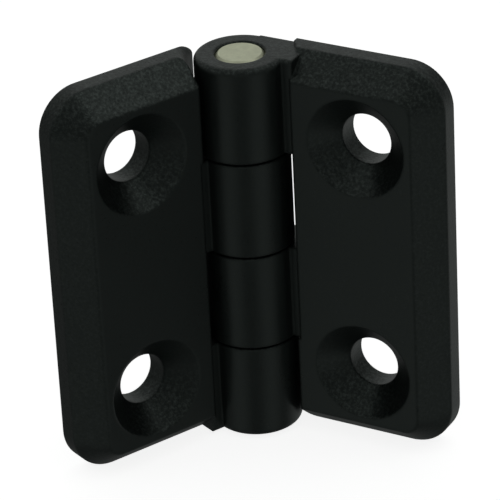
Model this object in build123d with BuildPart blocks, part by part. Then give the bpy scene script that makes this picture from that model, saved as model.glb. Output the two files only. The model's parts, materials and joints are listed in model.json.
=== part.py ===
from build123d import *

import os
from math import cos, radians, sin

# Moulded butt hinge, millimetres. Two identical bevelled leaves, the second turned end for end,
# share one steel pin. Row frame: the fixed leaf's mounting face lies in the plane Y = 0 and looks
# along +Y, Z runs up the pin, and the origin is midway between the fixed leaf's screw holes.
#
# Each leaf is drawn from the pin axis: reach runs away from the pin along the leaf, depth runs
# from the pin towards the countersunk front, and height runs along the pin.

# Leaf plate
LEAF_HEIGHT = 50.0
LEAF_REACH = 25.1  # pin axis to the outer edge
FACE_DEPTH = 0.5  # the front face lies this far in front of the pin axis
SIDE_DEPTH = 2.5  # square part of the leaf's edge, behind the bevels
BEVEL_WIDTH = 2.9  # bevel seen from the front, on the top, bottom and outer edges
OUTER_CORNER = 5.3  # corner radius of the leaf's outline
FACE_CORNER = 2.0  # corner radius of the flat front face
FACE_ROUNDING = 0.45
BEVEL_ROUNDING = 0.4
BACK_ROUNDING = 0.25

# Knuckles and the recess that clears the other leaf's knuckles
KNUCKLE_RADIUS = 5.5  # touches the mounting face, so it also sets the leaf's back plane
KNUCKLE_COUNT = 4  # both leaves together
STACK_HEIGHT = 49.2  # all the knuckles, a little shorter than the leaf
KNUCKLE_GAP = 0.2
RIM_ROUNDING = 0.8  # on the barrel, at the two free ends of the stack
WEB_ROUNDING = 0.5  # on the webs, at the two free ends of the stack
SEAM_ROUNDING = 0.2  # on the knuckle ends that face each other
RECESS_RADIUS = 6.6
POCKET_RADIUS = 6.25  # the recess is tighter round the other leaf's end knuckle
POCKET_ROUNDING = 0.3  # rounding from the tighter part to the wider part
FREE_CORNER = 1.6  # rounding of the leaf's corner beside the other leaf's end knuckle
RECESS_ROUNDING = 0.4  # front edge of the recess
STEP_REACH = 4.8  # the leaf's top edge drops to the knuckle's height nearer the pin than this
OVERRUN = 0.05  # the rounding cuts run this far past the faces that they round
WEB_DEPTH = 0.1  # front of the web that joins a knuckle to its leaf
WEB_REACH = 6.8

# Screw holes
SCREW_REACH = 15.0
SCREW_PITCH = 30.0
SCREW_RADIUS = 3.2
COUNTERSINK_RADIUS = 6.3
COUNTERSINK_ANGLE = 90.0

# Pin: pressed into the fixed leaf and running in the moving leaf
PIN_RADIUS = 3.0
PIN_CHAMFER = 0.4
RUNNING_CLEARANCE = 0.05
BORE_CHAMFER = 0.15

# How far the moving leaf stands turned forward from flat
REST_FOLD = 64.8

BACK_DEPTH = -KNUCKLE_RADIUS
PIN_PLACE = (-SCREW_REACH, BACK_DEPTH, 0)
KNUCKLE_PITCH = (STACK_HEIGHT + KNUCKLE_GAP) / KNUCKLE_COUNT
KNUCKLE_LENGTH = KNUCKLE_PITCH - KNUCKLE_GAP
KNUCKLE_TOPS = (STACK_HEIGHT / 2, STACK_HEIGHT / 2 - 2 * KNUCKLE_PITCH)
POCKET_TOP = KNUCKLE_TOPS[1] - KNUCKLE_LENGTH  # the foot of the leaf's inner knuckle
BEVEL_DEPTH = BACK_DEPTH + SIDE_DEPTH
TOLERANCE = 0.001


def plate_outline(inset, corner):
    """Leaf seen from the front: square at the pin axis, round at the two outer corners."""
    with BuildSketch(mode=Mode.PRIVATE) as outline:
        Rectangle(LEAF_REACH - inset, LEAF_HEIGHT - 2 * inset, align=(Align.MIN, Align.CENTER))
        fillet(outline.vertices().group_by(Axis.X)[-1], radius=corner)
    add(outline.sketch)


def barrel_section(top, rim):
    """Half section of one knuckle's barrel, rounded more at a free end than at a seam."""
    with BuildSketch(mode=Mode.PRIVATE) as section:
        with Locations((0, top)):
            Rectangle(KNUCKLE_RADIUS, KNUCKLE_LENGTH, align=(Align.MIN, Align.MAX))
        outer_corners = section.vertices().group_by(Axis.X)[-1].sort_by(Axis.Y)
        fillet(outer_corners[0], radius=SEAM_ROUNDING)
        outer_corners = section.vertices().group_by(Axis.X)[-1].sort_by(Axis.Y)
        fillet(outer_corners[-1], radius=rim)
    add(section.sketch)


def recess_section():
    """Half section of the round recess: wide, then tighter, then flared at the leaf's free end."""
    half = LEAF_HEIGHT / 2 + OVERRUN
    free_start = FREE_CORNER - half
    free_mouth = (POCKET_RADIUS + FREE_CORNER, -half)
    pocket_start = (POCKET_RADIUS, POCKET_TOP - POCKET_ROUNDING)
    pocket_end = (POCKET_RADIUS + POCKET_ROUNDING, POCKET_TOP)
    with BuildSketch(mode=Mode.PRIVATE) as section:
        with BuildLine():
            Polyline((0, half), (0, -half), free_mouth)
            RadiusArc(free_mouth, (POCKET_RADIUS, free_start), FREE_CORNER)
            Line((POCKET_RADIUS, free_start), pocket_start)
            RadiusArc(pocket_start, pocket_end, POCKET_ROUNDING)
            Polyline(pocket_end, (RECESS_RADIUS, POCKET_TOP), (RECESS_RADIUS, half), (0, half))
        make_face()
    add(section.sketch)


def recess_edge_section(radius):
    """What rounding takes off the recess's front edge: X is reach and Y is towards the back."""
    reach = radius - OVERRUN
    front = -FACE_DEPTH - OVERRUN
    wall_end = (reach, front + RECESS_ROUNDING)
    face_end = (reach + RECESS_ROUNDING, front)
    with BuildSketch(mode=Mode.PRIVATE) as section:
        with BuildLine():
            RadiusArc(face_end, wall_end, RECESS_ROUNDING)
            Polyline(wall_end, (reach, front), face_end)
        make_face()
    add(section.sketch)


def face_on_plane(pin_frame):
    """The leaf seen from its countersunk front: X is reach and Y is height."""
    return Plane(pin_frame.origin, x_dir=pin_frame.x_dir, z_dir=-pin_frame.y_dir)


def build_knuckle(pin_frame, top, rim, web_rim):
    """One knuckle: a round barrel, and a web that joins it to the leaf."""
    pin_line = Axis(pin_frame.origin, pin_frame.z_dir)
    outwards = Axis(pin_frame.origin, pin_frame.x_dir)
    with BuildPart() as knuckle:
        with BuildSketch(pin_frame.offset(top)):
            with Locations((0, -WEB_DEPTH)):
                Rectangle(WEB_REACH, WEB_DEPTH - BACK_DEPTH, align=(Align.MIN, Align.MIN))
        extrude(amount=-KNUCKLE_LENGTH)
        fillet(knuckle.edges().filter_by(outwards).group_by(pin_line)[0], radius=SEAM_ROUNDING)
        fillet(knuckle.edges().filter_by(outwards).group_by(pin_line)[-1], radius=web_rim)
        with BuildSketch(face_on_plane(pin_frame)):
            barrel_section(top, rim)
        revolve(axis=pin_line)
    return knuckle.part


def build_leaf(pin_frame, bore_radius):
    """One leaf on a frame with X along its reach, Y towards its back and Z up its own pin axis."""
    face_on = face_on_plane(pin_frame)
    pin_line = Axis(pin_frame.origin, pin_frame.z_dir)
    outwards = Axis(pin_frame.origin, pin_frame.x_dir)
    forwards = Axis(pin_frame.origin, face_on.z_dir)
    end_knuckle = build_knuckle(pin_frame, KNUCKLE_TOPS[0], RIM_ROUNDING, WEB_ROUNDING)
    inner_knuckle = build_knuckle(pin_frame, KNUCKLE_TOPS[1], SEAM_ROUNDING, SEAM_ROUNDING)

    with BuildPart() as leaf:
        # Plate: a slab with square sides, then a ruled bevel up to the smaller front face
        with BuildSketch(face_on.offset(BACK_DEPTH)):
            plate_outline(0, OUTER_CORNER)
        extrude(amount=SIDE_DEPTH)
        with BuildSketch(face_on.offset(BEVEL_DEPTH)):
            plate_outline(0, OUTER_CORNER)
        with BuildSketch(face_on.offset(FACE_DEPTH)):
            plate_outline(BEVEL_WIDTH, FACE_CORNER)
        loft(ruled=True)
        for depth, rounding in (
            (FACE_DEPTH, FACE_ROUNDING),
            (BEVEL_DEPTH, BEVEL_ROUNDING),
            (BACK_DEPTH, BACK_ROUNDING),
        ):
            rim = leaf.edges().filter_by_position(forwards, depth - TOLERANCE, depth + TOLERANCE)
            fillet(rim.sort_by(outwards)[1:], radius=rounding)

        # Round recess along the pin side
        with BuildSketch(face_on):
            recess_section()
        revolve(axis=pin_line, mode=Mode.SUBTRACT)

        for radius, bottom, top in (
            (POCKET_RADIUS, -LEAF_HEIGHT / 2, POCKET_TOP),
            (RECESS_RADIUS, POCKET_TOP, LEAF_HEIGHT / 2),
        ):
            with BuildSketch(pin_frame.offset(bottom)):
                recess_edge_section(radius)
            extrude(amount=top - bottom, mode=Mode.SUBTRACT)

        # Step down beside the leaf's own end knuckle
        with BuildSketch(face_on.offset(BACK_DEPTH)):
            with Locations((0, KNUCKLE_TOPS[0] - WEB_ROUNDING)):
                Rectangle(STEP_REACH, LEAF_HEIGHT, align=(Align.MIN, Align.MIN))
        extrude(amount=FACE_DEPTH - BACK_DEPTH, mode=Mode.SUBTRACT)

        # Knuckles and the bore through them
        add([end_knuckle, inner_knuckle])
        with Locations(pin_frame):
            Hole(bore_radius)
        bore_ends = leaf.edges().filter_by(GeomType.CIRCLE)
        bore_ends = bore_ends.filter_by(lambda edge: abs(edge.radius - bore_radius) < TOLERANCE)
        chamfer(bore_ends, length=BORE_CHAMFER)

        # Countersunk screw holes
        with Locations(face_on.offset(FACE_DEPTH)):
            with Locations((SCREW_REACH, SCREW_PITCH / 2), (SCREW_REACH, -SCREW_PITCH / 2)):
                CounterSinkHole(
                    SCREW_RADIUS,
                    COUNTERSINK_RADIUS,
                    counter_sink_angle=COUNTERSINK_ANGLE,
                )
    return leaf


os.makedirs("parts", exist_ok=True)

# Fixed leaf: reaches along +X and carries the first and third knuckles from the top
fixed_frame = Plane(PIN_PLACE, x_dir=(1, 0, 0), z_dir=(0, 0, 1))
fixed_leaf = build_leaf(fixed_frame, PIN_RADIUS)
fixed_leaf.part.label = "fixed_leaf"
export_step(fixed_leaf.part, "parts/fixed_leaf.step")

# Moving leaf: the same moulding turned end for end, then folded forward about the pin
rest_angle = radians(180 + REST_FOLD)
moving_frame = Plane(PIN_PLACE, x_dir=(cos(rest_angle), sin(rest_angle), 0), z_dir=(0, 0, -1))
moving_leaf = build_leaf(moving_frame, PIN_RADIUS + RUNNING_CLEARANCE)
moving_leaf.part.label = "moving_leaf"
export_step(moving_leaf.part, "parts/moving_leaf.step")

# Hinge pin: flush with both ends of the knuckle stack
with BuildPart() as hinge_pin:
    with BuildSketch(fixed_frame.offset(-STACK_HEIGHT / 2)):
        Circle(PIN_RADIUS)
    extrude(amount=STACK_HEIGHT)
    chamfer(hinge_pin.edges().filter_by(GeomType.CIRCLE), length=PIN_CHAMFER)
hinge_pin.part.label = "hinge_pin"
export_step(hinge_pin.part, "parts/hinge_pin.step")
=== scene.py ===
import json
from math import cos, radians, sin

import bpy
from mathutils import Matrix, Vector


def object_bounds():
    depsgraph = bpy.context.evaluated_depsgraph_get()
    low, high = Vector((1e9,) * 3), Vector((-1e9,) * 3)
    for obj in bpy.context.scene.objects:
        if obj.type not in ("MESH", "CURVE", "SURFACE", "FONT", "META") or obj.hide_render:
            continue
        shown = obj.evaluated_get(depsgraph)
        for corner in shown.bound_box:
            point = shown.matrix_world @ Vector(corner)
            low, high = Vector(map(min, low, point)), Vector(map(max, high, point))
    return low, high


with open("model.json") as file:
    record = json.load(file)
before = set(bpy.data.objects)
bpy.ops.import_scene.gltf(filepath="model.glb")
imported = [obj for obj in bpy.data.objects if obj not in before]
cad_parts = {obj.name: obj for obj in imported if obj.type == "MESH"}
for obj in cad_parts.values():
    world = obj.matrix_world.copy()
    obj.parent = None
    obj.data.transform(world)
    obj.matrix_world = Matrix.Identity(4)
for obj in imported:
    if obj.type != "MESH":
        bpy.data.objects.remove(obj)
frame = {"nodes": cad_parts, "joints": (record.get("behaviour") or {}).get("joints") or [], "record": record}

cad_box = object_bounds()
joint = frame["joints"][0]
pin_axis = Vector(joint["pos_m"])
MM = 0.001

scene = bpy.context.scene
scene.view_settings.view_transform = "Standard"


# ---------------------------------------------------------------- camera

CAMERA_AZIMUTH = radians(29.79)
CAMERA_ELEVATION = radians(27.88)
CAMERA_ROLL = radians(-2.98)
CAMERA_DISTANCE = 422.5 * MM
CAMERA_LENS = 252.3
SENSOR_WIDTH = 36
CLIP_START, CLIP_END = 0.01, 10
CAMERA_AIM = pin_axis + Vector((0, 0, -1.66 * MM))


def make_camera():
    """A long lens looking down at the pin from the open side of the leaves."""
    azimuth, elevation = CAMERA_AZIMUTH, CAMERA_ELEVATION
    back = Vector((sin(azimuth) * cos(elevation), -cos(azimuth) * cos(elevation), sin(elevation)))
    right = Vector((cos(azimuth), sin(azimuth), 0))
    up = back.cross(right)
    rolled_right = cos(CAMERA_ROLL) * right + sin(CAMERA_ROLL) * up
    rolled_up = back.cross(rolled_right)
    turn = Matrix((rolled_right, rolled_up, back)).transposed()
    data = bpy.data.cameras.new("camera")
    data.sensor_width = SENSOR_WIDTH
    data.lens = CAMERA_LENS
    data.clip_start = CLIP_START
    data.clip_end = CLIP_END
    camera = bpy.data.objects.new("camera", data)
    camera.matrix_world = Matrix.Translation(CAMERA_AIM + back * CAMERA_DISTANCE) @ turn.to_4x4()
    scene.collection.objects.link(camera)
    scene.camera = camera


# ---------------------------------------------------------------- node helpers

NOISE_SPAN = (0.3, 0.7)  # most of what a noise texture gives


class Nodes:
    """A few short calls for building a node tree."""

    def __init__(self, tree):
        self.tree = tree
        self.tree.nodes.clear()

    def add(self, kind, inputs=None, **settings):
        node = self.tree.nodes.new(kind)
        for name, value in settings.items():
            setattr(node, name, value)
        for name, value in (inputs or {}).items():
            self.feed(node.inputs[name], value)
        return node

    def feed(self, socket, value):
        if isinstance(value, bpy.types.NodeSocket):
            self.tree.links.new(value, socket)
        else:
            socket.default_value = value

    def math(self, operation, first, second=0.0):
        return self.add("ShaderNodeMath", {0: first, 1: second}, operation=operation).outputs[0]

    def vector_math(self, operation, first, second=None):
        node = self.add("ShaderNodeVectorMath", {0: first}, operation=operation)
        if second is not None:
            self.feed(node.inputs[1], second)
        return node

    def remap(self, value, low, high, to_low, to_high):
        sockets = {"Value": value, "From Min": low, "From Max": high,
                   "To Min": to_low, "To Max": to_high}
        return self.add("ShaderNodeMapRange", sockets).outputs[0]

    def noise(self, place, size, detail, roughness):
        sockets = {"Vector": place, "Scale": 1 / size, "Detail": detail, "Roughness": roughness}
        return self.add("ShaderNodeTexNoise", sockets).outputs["Fac"]

    def mix_colour(self, factor, first, second):
        node = self.add("ShaderNodeMix", data_type="RGBA")
        self.feed(node.inputs["Factor"], factor)
        self.feed(node.inputs[6], first)
        self.feed(node.inputs[7], second)
        return node.outputs[2]

    def upward_part(self, direction):
        return self.add("ShaderNodeSeparateXYZ", {0: direction}).outputs[2]

    def principled_surface(self, inputs):
        shader = self.add("ShaderNodeBsdfPrincipled", inputs)
        self.add("ShaderNodeOutputMaterial", {"Surface": shader.outputs[0]})


def new_material(name):
    material = bpy.data.materials.new(name)
    material.use_nodes = True
    return material, Nodes(material.node_tree)


# ---------------------------------------------------------------- black nylon

NYLON_DARK = (0.0015, 0.0021, 0.0019, 1)
NYLON_PALE = (0.0030, 0.0040, 0.0037, 1)
NYLON_SHEEN = (0.86, 1.0, 0.94, 1)
NYLON_IOR = 1.5
EDGE_RADIUS = 0.45 * MM
BARREL_RADIUS = 5.6 * MM
BARREL_BLEND = 0.15 * MM
FACE_COSINE = (0.93, 0.985)  # to the leaf's front, where the finer grain starts and is full
UPRIGHT_SLOPE = (0.3, 0.6)  # upward part of the normal, where the barrel's finer grain ends
PIT_SIZE = 0.36 * MM
GRIT_SIZE = 0.11 * MM
FLOW_SIZE = 9 * MM
PIT_SHARE, GRIT_SHARE = 0.7, 0.3
GRAIN_DEPTH = 0.05 * MM
COARSE_BUMP, FINE_BUMP = 0.8, 0.3
ROUGHNESS = (0.26, 0.38)  # in the grain's pits and on its peaks
FLOW_ROUGHNESS = (-0.02, 0.04)  # added by the broad marks of the plastic's flow
SHEEN_LEVEL = 0.5
PEAK_SPAN = (0.36, 0.64)
PEAK_SHARPNESS = 2.0
PEAK_SPECK = (-0.6, 1.5)  # dulls the pits a little and brightens the peaks more
# Painted highlight: the grain's sheen is made stronger on surfaces that look up, for the light from above
PAINTED_HIGHLIGHT_SLOPE = (-0.1, 0.5)
SIDE_SPECK, TOP_PAINTED_HIGHLIGHT = 0.08, 0.28  # how far the grain moves the sheen, on walls and looking up; the larger amount looking up is painted highlight for the light from above
FINE_SPECK = 0.2  # share of that left on the smooth areas


def from_pin(n, place):
    """Distance from the pin axis."""
    offset = n.vector_math("SUBTRACT", place, pin_axis).outputs[0]
    split = n.add("ShaderNodeSeparateXYZ", {0: offset})
    flat = n.add("ShaderNodeCombineXYZ", {0: split.outputs[0], 1: split.outputs[1]})
    return n.vector_math("LENGTH", flat.outputs[0]).outputs["Value"]


def smooth_area(n, coordinates, front):
    """1 on a leaf's flat front face and on the knuckles' barrels, where the grain's bump and sheen are made
    weaker.
    """
    normal = coordinates.outputs["Normal"]
    facing = n.vector_math("DOT_PRODUCT", normal, front).outputs["Value"]
    face = n.remap(facing, *FACE_COSINE, 0.0, 1.0)
    upward = n.math("ABSOLUTE", n.upward_part(normal))
    upright = n.remap(upward, *UPRIGHT_SLOPE, 1.0, 0.0)
    radius = from_pin(n, coordinates.outputs["Object"])
    near = n.remap(radius, BARREL_RADIUS, BARREL_RADIUS + BARREL_BLEND, 1.0, 0.0)
    return n.math("MAXIMUM", face, n.math("MULTIPLY", upright, near))


def black_nylon(name, front):
    """Glass-filled black nylon with the pitted grain of a spark-eroded mould."""
    material, n = new_material(name)
    coordinates = n.add("ShaderNodeTexCoord")
    place = coordinates.outputs["Object"]
    smooth = smooth_area(n, coordinates, front)
    pits = n.noise(place, PIT_SIZE, 2.0, 0.6)
    grit = n.noise(place, GRIT_SIZE, 2.0, 0.6)
    flow = n.noise(place, FLOW_SIZE, 3.0, 0.55)
    grain = n.math("ADD", n.math("MULTIPLY", pits, PIT_SHARE), n.math("MULTIPLY", grit, GRIT_SHARE))
    soft_edge = n.add("ShaderNodeBevel", {"Radius": EDGE_RADIUS}, samples=4)
    bump = n.add("ShaderNodeBump", {
        "Strength": n.remap(smooth, 0, 1, COARSE_BUMP, FINE_BUMP), "Distance": GRAIN_DEPTH,
        "Height": grain, "Normal": soft_edge.outputs[0]})
    fine_roughness = n.remap(grain, *NOISE_SPAN, *ROUGHNESS)
    roughness = n.math("ADD", fine_roughness, n.remap(flow, *NOISE_SPAN, *FLOW_ROUGHNESS))

    # The grain's peaks raise the sheen; the rise is larger where a surface looks up, a painted highlight for
    # the light from above
    peaks = n.math("POWER", n.remap(grain, *PEAK_SPAN, 0.0, 1.0), PEAK_SHARPNESS)
    speck = n.remap(peaks, 0, 1, *PEAK_SPECK)
    upward = n.upward_part(coordinates.outputs["Normal"])
    grain_sheen_and_painted_highlight = n.math("MULTIPLY", speck, n.remap(upward, *PAINTED_HIGHLIGHT_SLOPE, SIDE_SPECK, TOP_PAINTED_HIGHLIGHT))
    glints = n.math("MULTIPLY", grain_sheen_and_painted_highlight, n.remap(smooth, 0, 1, 1.0, FINE_SPECK))
    n.principled_surface({
        "Base Color": n.mix_colour(flow, NYLON_DARK, NYLON_PALE),
        "Roughness": roughness,
        "IOR": NYLON_IOR,
        "Specular IOR Level": n.math("ADD", glints, SHEEN_LEVEL),
        "Specular Tint": NYLON_SHEEN,
        "Normal": bump.outputs[0],
    })
    return material


# ---------------------------------------------------------------- pin steel

STEEL = (0.80, 0.82, 0.61, 1)
STEEL_SHADE = (0.70, 0.715, 0.53, 1)
RING_SIZE = 0.12 * MM
RING_DEPTH = 0.01 * MM
RING_BUMP = 0.25
STEEL_ROUGHNESS = (0.32, 0.42)
STAIN_SIZE = 1.4 * MM
STAIN_SPAN = (0.35, 0.65)


def pin_steel():
    """Warm grey steel with the fine rings of a turned end face."""
    material, n = new_material("pin_steel")
    place = n.add("ShaderNodeTexCoord").outputs["Object"]
    ring_place = n.add("ShaderNodeCombineXYZ", {0: from_pin(n, place)}).outputs[0]
    rings = n.noise(ring_place, RING_SIZE, 2.0, 0.6)
    stain = n.noise(place, STAIN_SIZE, 3.0, 0.6)
    bump = n.add("ShaderNodeBump", {"Strength": RING_BUMP, "Distance": RING_DEPTH, "Height": rings})
    n.principled_surface({
        "Base Color": n.mix_colour(n.remap(stain, *STAIN_SPAN, 0, 1), STEEL, STEEL_SHADE),
        "Metallic": 1.0,
        "Roughness": n.remap(rings, *NOISE_SPAN, *STEEL_ROUGHNESS),
        "Normal": bump.outputs[0],
    })
    return material


# ---------------------------------------------------------------- CAD nodes

SHARP_ANGLE = radians(32)
WELD_DISTANCE = 0.002 * MM


def smooth_by_angle():
    """Geometry nodes that shade a mesh smooth and leave its sharp edges sharp."""
    tree = bpy.data.node_groups.new("smooth_by_angle", "GeometryNodeTree")
    tree.interface.new_socket("Geometry", in_out="INPUT", socket_type="NodeSocketGeometry")
    tree.interface.new_socket("Geometry", in_out="OUTPUT", socket_type="NodeSocketGeometry")
    n = Nodes(tree)
    source = n.add("NodeGroupInput")
    angle = n.add("GeometryNodeInputMeshEdgeAngle")
    blunt = n.add("FunctionNodeCompare", {0: angle.outputs[0], 1: SHARP_ANGLE}, operation="LESS_THAN")
    faces = n.add("GeometryNodeSetShadeSmooth", {0: source.outputs[0]}, domain="FACE")
    edges = n.add("GeometryNodeSetShadeSmooth", {0: faces.outputs[0], 2: blunt.outputs[0]},
                  domain="EDGE")
    target = n.add("NodeGroupOutput")
    n.feed(target.inputs[0], edges.outputs[0])
    return tree


def front_of(leaf):
    """The way a leaf's countersunk face looks: away from its mounting face."""
    for mount in frame["record"]["mounts"]:
        if mount["name"] == leaf + "_mounting_face":
            return -Vector(mount["axis"])


def finish_node(name, material, smoothing):
    """Joins the faces' edges, shades them smooth and gives the node its material."""
    part = frame["nodes"][name]
    weld = part.modifiers.new("weld", "WELD")
    weld.merge_threshold = WELD_DISTANCE
    smooth = part.modifiers.new("smooth", "NODES")
    smooth.node_group = smoothing
    weighted = part.modifiers.new("weighted_normals", "WEIGHTED_NORMAL")
    weighted.keep_sharp = True
    weighted.weight = 100
    part.data.materials.clear()
    part.data.materials.append(material)


# ---------------------------------------------------------------- studio

FLOOR_GAP = 0.02 * MM  # keeps the floor clear of the leaves' lower edges
FLOOR_RADIUS = 1.2
FLOOR_COLOUR, FLOOR_GLOW = 0.55, 0.86
BACKDROP_RADIUS = 1.5
BACKDROP_COLOUR, BACKDROP_GLOW = 0.0, 1.05


def lit_material(name, colour, glow):
    """Matt surface that also glows, so that it renders nearly white."""
    material, n = new_material(name)
    n.principled_surface({
        "Base Color": (colour, colour, colour, 1),
        "Roughness": 0.9,
        "Emission Color": (1, 1, 1, 1),
        "Emission Strength": glow,
    })
    return material


def make_stage():
    """A white table and a white backdrop, both kept out of the object's reflections."""
    centre = (pin_axis.x, pin_axis.y, cad_box[0].z - FLOOR_GAP)
    bpy.ops.mesh.primitive_circle_add(vertices=96, radius=FLOOR_RADIUS, fill_type="NGON",
                                      location=centre)
    floor = bpy.context.object
    floor.name = "floor"
    floor.data.materials.append(lit_material("floor_white", FLOOR_COLOUR, FLOOR_GLOW))
    floor.visible_glossy = False
    bpy.ops.mesh.primitive_uv_sphere_add(segments=64, ring_count=32, radius=BACKDROP_RADIUS,
                                         location=centre)
    backdrop = bpy.context.object
    backdrop.name = "backdrop"
    backdrop.data.materials.append(
        lit_material("backdrop_white", BACKDROP_COLOUR, BACKDROP_GLOW))
    backdrop.visible_glossy = False
    backdrop.visible_diffuse = False
    backdrop.visible_shadow = False


def compass(azimuth, elevation):
    """Unit vector towards a compass azimuth, 0 being -Y and 90 +X, and an elevation in degrees."""
    a, e = radians(azimuth), radians(elevation)
    return Vector((sin(a) * cos(e), -cos(a) * cos(e), sin(e)))


SHELL_SPAN = (-0.6, 0.6)  # upward part of the direction
SHELL_STRENGTH = (0.095, 0.24)  # below and above that span
SHELL_TINT = (0.97, 1.0, 0.98, 1)
GLOWS = (  # azimuth, elevation, cosine at the outer edge, strength at the middle
    (125, 66, 0.88, 0.50),
    (-60, 55, 0.75, 0.14),
    (-150, 25, 0.70, 0.21),
    (66, -28, 0.90, 0.18),
    (-16, -28, 0.88, 0.17),
    (150, -28, 0.80, 0.22),
)


def make_light():
    """Soft studio surround: a dim shell with wide glows, brighter above than below."""
    world = bpy.data.worlds.new("studio")
    scene.world = world
    world.use_nodes = True
    n = Nodes(world.node_tree)
    towards = n.add("ShaderNodeTexCoord").outputs["Generated"]
    strength = n.remap(n.upward_part(towards), *SHELL_SPAN, *SHELL_STRENGTH)
    for azimuth, elevation, edge, middle in GLOWS:
        aim = n.vector_math("DOT_PRODUCT", towards, compass(azimuth, elevation)).outputs["Value"]
        glow = n.add("ShaderNodeMapRange", {
            "Value": aim, "From Min": edge, "From Max": 1.0, "To Min": 0.0, "To Max": middle,
        }, interpolation_type="SMOOTHSTEP").outputs[0]
        strength = n.math("ADD", strength, glow)
    background = n.add("ShaderNodeBackground", {"Color": SHELL_TINT, "Strength": strength})
    n.add("ShaderNodeOutputWorld", {"Surface": background.outputs[0]})


# ---------------------------------------------------------------- making it

make_camera()
make_light()
make_stage()
smoothing = smooth_by_angle()
for leaf in ("fixed_leaf", "moving_leaf"):
    finish_node(leaf, black_nylon("black_nylon_" + leaf, front_of(leaf)), smoothing)
finish_node("hinge_pin", pin_steel(), smoothing)
